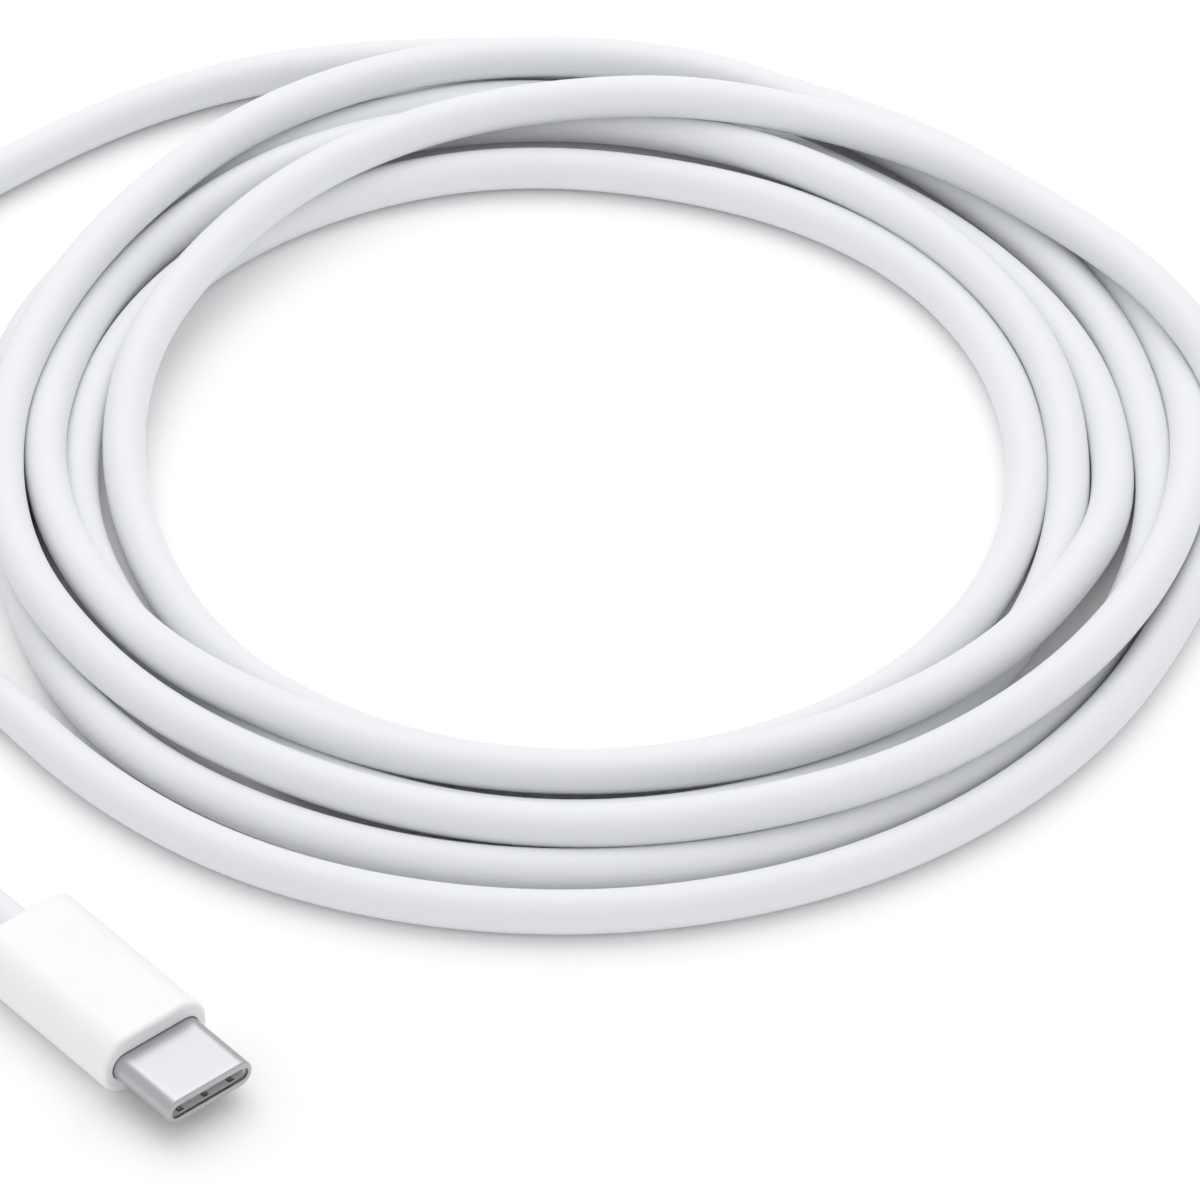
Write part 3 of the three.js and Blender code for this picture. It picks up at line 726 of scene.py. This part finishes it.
class CABLE_OT_draw_shells(bpy.types.Operator):
    """Draws the steel shell of each plug, with its lip turned in round the mouth"""

    bl_idname = "cable.draw_shells"
    bl_label = "Draw shells"

    def execute(self, context):
        sizes, colours = context.scene.cable_sizes, context.scene.cable_colours
        width, height, wall = sizes.shell_width, sizes.shell_height, sizes.shell_wall
        mouth = (sizes.housing_length + sizes.shell_reach) / 2
        rear = mouth - sizes.shell_reach - SHELL_SEAT
        bearings = even_bearings(width, height, height / 2, 144)
        hollow = (width - 2 * wall, height - 2 * wall)
        opening = (sizes.mouth_width, sizes.mouth_height)
        # The rolled lip: its outer round, its inner round, and how deep its three inside steps lie.
        roll, inner_round = 0.00022, 0.00006
        straight_to, flared_at, lip_back = 0.00026, 0.0003, 0.00031
        for suffix in PLUG_CENTRES:
            finish = drawn_steel("drawn steel " + suffix, colours.steel, 0.36, PLUG_TURNS[suffix], 0.5)
            tube = Section(suffix, bearings, sizes.housing_height / 2)
            tube.ring(rear, width, height, height / 2)
            for share in np.linspace(0.08, 0.96, 12):
                tube.ring(rear + (mouth - roll - rear) * share, width, height, height / 2)
            tube.rounded_edge(mouth, 1, width, height, height / 2, roll)
            tube.turned_in(mouth, *opening, inner_round)
            tube.ring(mouth - straight_to, *opening, opening[1] / 2)
            tube.ring(mouth - flared_at, opening[0] + inner_round, opening[1] + inner_round, opening[1] / 2)
            tube.ring(mouth - lip_back, *hollow, hollow[1] / 2)
            tube.ring(rear, *hollow, hollow[1] / 2)
            bm = bmesh.new()
            skin(bm, tube.rings, closed=True)
            shell = new_piece("plug_shell_" + suffix, bm, finish)
            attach(shell, BODY)
            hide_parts("shell_" + suffix)
        return {"FINISHED"}


def dress(finish, *starts):
    """Gives a finish to the CAD nodes whose names start so, in both plugs."""
    dressed = [node for name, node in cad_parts.items() if name.startswith(starts)]
    if not dressed:
        raise RuntimeError("no node starts with " + ", ".join(starts))
    for node in dressed:
        node.data.materials.clear()
        node.data.materials.append(finish)


class CABLE_OT_join_plug(bpy.types.Operator):
    """Does nothing; the cord laid by Lay cord already leaves plug A and ends in plug B"""

    bl_idname = "cable.join_plug"
    bl_label = "Join far plug"

    def execute(self, context):
        return {"FINISHED"}


class CABLE_OT_fit_mouth(bpy.types.Operator):
    """Finishes what shows in the mouth: carriers, contacts, latch and ground springs"""

    bl_idname = "cable.fit_mouth"
    bl_label = "Fit mouth pieces"

    def execute(self, context):
        colours = context.scene.cable_colours
        dress(moulded_plastic("grey carrier", colours.carrier, 0.5, 4200.0, 0.000006), "contact_carrier")
        dress(gold_plate(colours.gold), "contact_top", "contact_bottom")
        dress(drawn_steel("spring steel", colours.spring, 0.34, 0.0, 0.8), "latch_spring", "ground_spring")
        return {"FINISHED"}


class CABLE_OT_fit_inside(bpy.types.Operator):
    """Finishes what is inside the housings: boards, cans, inner moulds, ferrules and wires"""

    bl_idname = "cable.fit_inside"
    bl_label = "Fit inside pieces"

    def execute(self, context):
        dress(board_laminate(), "board_")
        dress(tinned_sheet("tinned cans"), "shield_top", "shield_bottom")
        dress(tinned_sheet("tinned ferrule"), "crimp_ferrule")
        dress(moulded_plastic("inner mould", (0.68, 0.68, 0.64), 0.5, 3000.0, 0.00001), "inner_mould")
        dress(wire_sleeve("red sleeve", (0.43, 0.023, 0.018)), "wire_power")
        dress(wire_sleeve("blue sleeve", (0.025, 0.078, 0.34)), "wire_config")
        dress(wire_sleeve("black sleeve", (0.013, 0.013, 0.013)), "wire_ground")
        dress(wire_sleeve("pale sleeve", (0.79, 0.79, 0.79)), "wire_data_minus")
        dress(wire_sleeve("green sleeve", (0.028, 0.205, 0.061)), "wire_data_plus")
        return {"FINISHED"}


class CABLE_OT_set_stage(bpy.types.Operator):
    """Puts the pale table top under the cable and lights it softly from above and behind"""

    bl_idname = "cable.set_stage"
    bl_label = "Set stage"

    def execute(self, context):
        scene = context.scene
        bm = bmesh.new()
        half, steps = 2.0, 8
        marks = [half * (2 * i / steps - 1) for i in range(steps + 1)]
        grid = [[bm.verts.new((x, y, 0.0)) for x in marks] for y in marks]
        for j in range(steps):
            for i in range(steps):
                bm.faces.new((grid[j][i], grid[j][i + 1], grid[j + 1][i + 1], grid[j + 1][i]))
        floor = new_piece("table_top", bm, table_top(scene.cable_colours.floor))

        world = bpy.data.worlds.new("soft room")
        world.use_nodes = True
        background = next(node for node in world.node_tree.nodes if node.type == "BACKGROUND")
        background.inputs["Color"].default_value = (1.0, 1.0, 1.0, 1.0)
        background.inputs["Strength"].default_value = 0.80
        scene.world = world

        self.softbox("back light", place=(-0.34, 0.30, 0.80), target=(-0.02, 0.06, 0.0), size=0.9, power=3.2)
        scene.view_settings.view_transform = "Standard"
        return {"FINISHED"}

    def softbox(self, name, place, target, size, power):
        """A square soft light, turned towards its target."""
        data = bpy.data.lights.new(name, "AREA")
        data.shape = "SQUARE"
        data.size = size
        data.energy = power
        light = bpy.data.objects.new(name, data)
        light.location = place
        light.rotation_euler = (Vector(target) - Vector(place)).to_track_quat("-Z", "Y").to_euler()
        bpy.context.scene.collection.objects.link(light)


OPERATORS = (
    CABLE_OT_place_camera,
    CABLE_OT_lay_cord,
    CABLE_OT_mould_housings,
    CABLE_OT_draw_shells,
    CABLE_OT_join_plug,
    CABLE_OT_fit_mouth,
    CABLE_OT_fit_inside,
    CABLE_OT_set_stage,
)


class CABLE_PT_parts(bpy.types.Panel):
    bl_label = "Charging Cable"
    bl_idname = "CABLE_PT_parts"
    bl_space_type = "VIEW_3D"
    bl_region_type = "UI"
    bl_category = "Cable"

    def draw(self, context):
        for group in (context.scene.cable_sizes, context.scene.cable_colours):
            column = self.layout.column(align=True)
            for label in group.__annotations__:
                column.prop(group, label)
        for operator in OPERATORS:
            self.layout.operator(operator.bl_idname)


CLASSES = (CableSizes, CableColours) + OPERATORS + (CABLE_PT_parts,)


def register():
    for item in CLASSES:
        bpy.utils.register_class(item)
    bpy.types.Scene.cable_sizes = PointerProperty(type=CableSizes)
    bpy.types.Scene.cable_colours = PointerProperty(type=CableColours)


def unregister():
    del bpy.types.Scene.cable_colours
    del bpy.types.Scene.cable_sizes
    for item in reversed(CLASSES):
        bpy.utils.unregister_class(item)


def main():
    register()
    for operator in OPERATORS:
        family, action = operator.bl_idname.split(".")
        if getattr(getattr(bpy.ops, family), action)() != {"FINISHED"}:
            raise RuntimeError(operator.bl_label + " did not finish")


if __name__ == "__main__":
    main()
